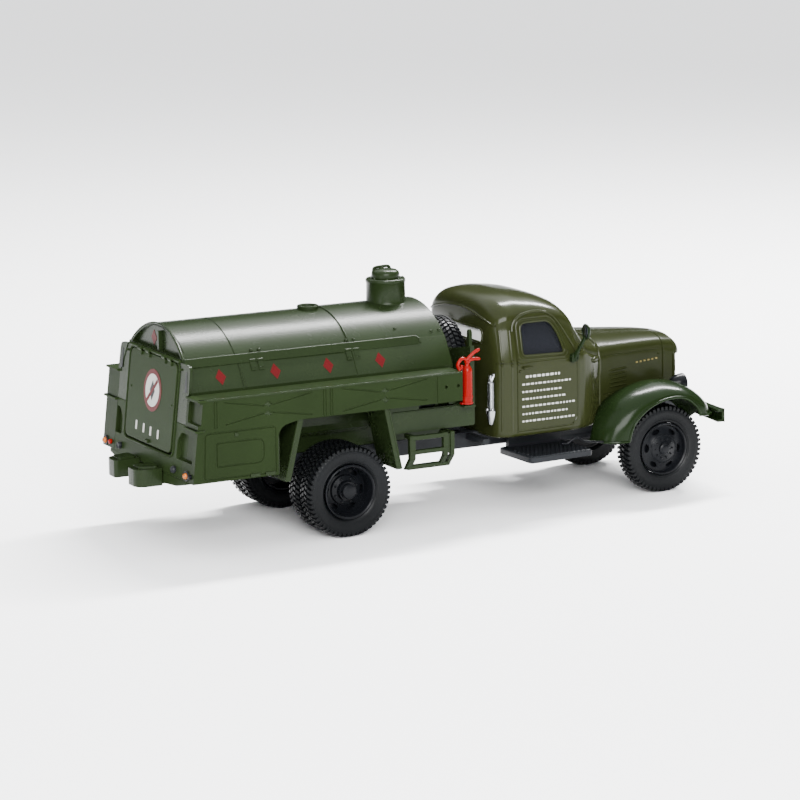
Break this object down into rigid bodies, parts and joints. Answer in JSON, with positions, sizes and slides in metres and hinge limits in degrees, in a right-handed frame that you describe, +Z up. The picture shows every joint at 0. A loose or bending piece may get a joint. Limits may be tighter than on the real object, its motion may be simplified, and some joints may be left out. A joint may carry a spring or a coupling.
{
  "type": "model tank truck",
  "caption": "Small-scale bonneted refuelling tank truck with a domed tank body, side lockers, ladders and freely rolling wheels on through axles.",
  "frame": {"origin": "on the ground plane, under the middle of the bounding box", "axes": "+X to the truck's front, +Y to its left, +Z up"},
  "size_m": [0.1084, 0.0372, 0.0419],
  "materials": {
    "cab_green": "gloss olive enamel",
    "body_green": "satin green enamel",
    "fender_green": "gloss dark green enamel",
    "black": "satin black moulding",
    "rubber": "soft black tyre with moulded tread",
    "steel": "bright silver",
    "trim": "matt dark interior moulding",
    "window": "dark tinted clear moulding",
    "lens": "clear ribbed lens",
    "red": "gloss red",
    "amber": "translucent amber",
    "mark_white": "printed white marks",
    "mark_red": "printed red marks",
    "mark_gold": "printed gold strip",
    "mirror_face": "bright mirror"
  },
  "bodies": {
    "truck": {"chassis_frame": "black", "base_screw_front": "steel", "base_screw_rear": "steel", "cab_shell": "cab_green", "cab_glazing": "window", "seat": "trim", "dashboard": "trim", "steering_wheel": "trim", "hood": "cab_green", "grille": "black", "front_fender_right": "fender_green", "front_fender_left": "fender_green", "headlight_right": "black", "headlight_left": "black", "headlight_lens_right": "lens", "headlight_lens_left": "lens", "front_bumper": "fender_green", "mirror_right": "black", "mirror_left": "black", "fuel_nozzle": "steel", "running_board_right": "black", "running_board_left": "black", "tank_shell": "body_green", "side_locker_right": "body_green", "side_locker_left": "body_green", "rear_cabinet": "body_green", "rear_door": "body_green", "mudguard_rear_right": "body_green", "mudguard_rear_left": "body_green", "mudguard_front_right": "body_green", "mudguard_front_left": "body_green", "valve_locker": "body_green", "dome_tower": "body_green", "dome_cap": "body_green", "hatch_cover": "body_green", "bumper_block_right": "body_green", "bumper_block_left": "body_green", "tow_hook": "black", "tail_lamp_right": "amber", "tail_lamp_left": "amber", "ladder_right": "body_green", "ladder_left": "body_green", "extinguisher_right": "red", "extinguisher_left": "red", "spare_tyre": "rubber", "spare_rim": "black", "spare_carrier": "body_green"},
    "front_wheels": {"front_rim_right": "black", "front_rim_left": "black", "front_tyre_right": "rubber", "front_tyre_left": "rubber", "front_axle": "steel"},
    "rear_wheels": {"rear_rim_right": "black", "rear_rim_left": "black", "rear_tyre_outer_right": "rubber", "rear_tyre_outer_left": "rubber", "rear_tyre_inner_right": "rubber", "rear_tyre_inner_left": "rubber", "rear_axle": "steel"}
  },
  "joints": [
    {"name": "front_wheels_roll", "type": "hinge", "parent": "truck", "child": "front_wheels", "pos_m": [0.04225, 0, 0.00775], "axis": [0, 1, 0], "continuous": true},
    {"name": "rear_wheels_roll", "type": "hinge", "parent": "truck", "child": "rear_wheels", "pos_m": [-0.02025, 0, 0.00775], "axis": [0, 1, 0], "continuous": true}
  ]
}
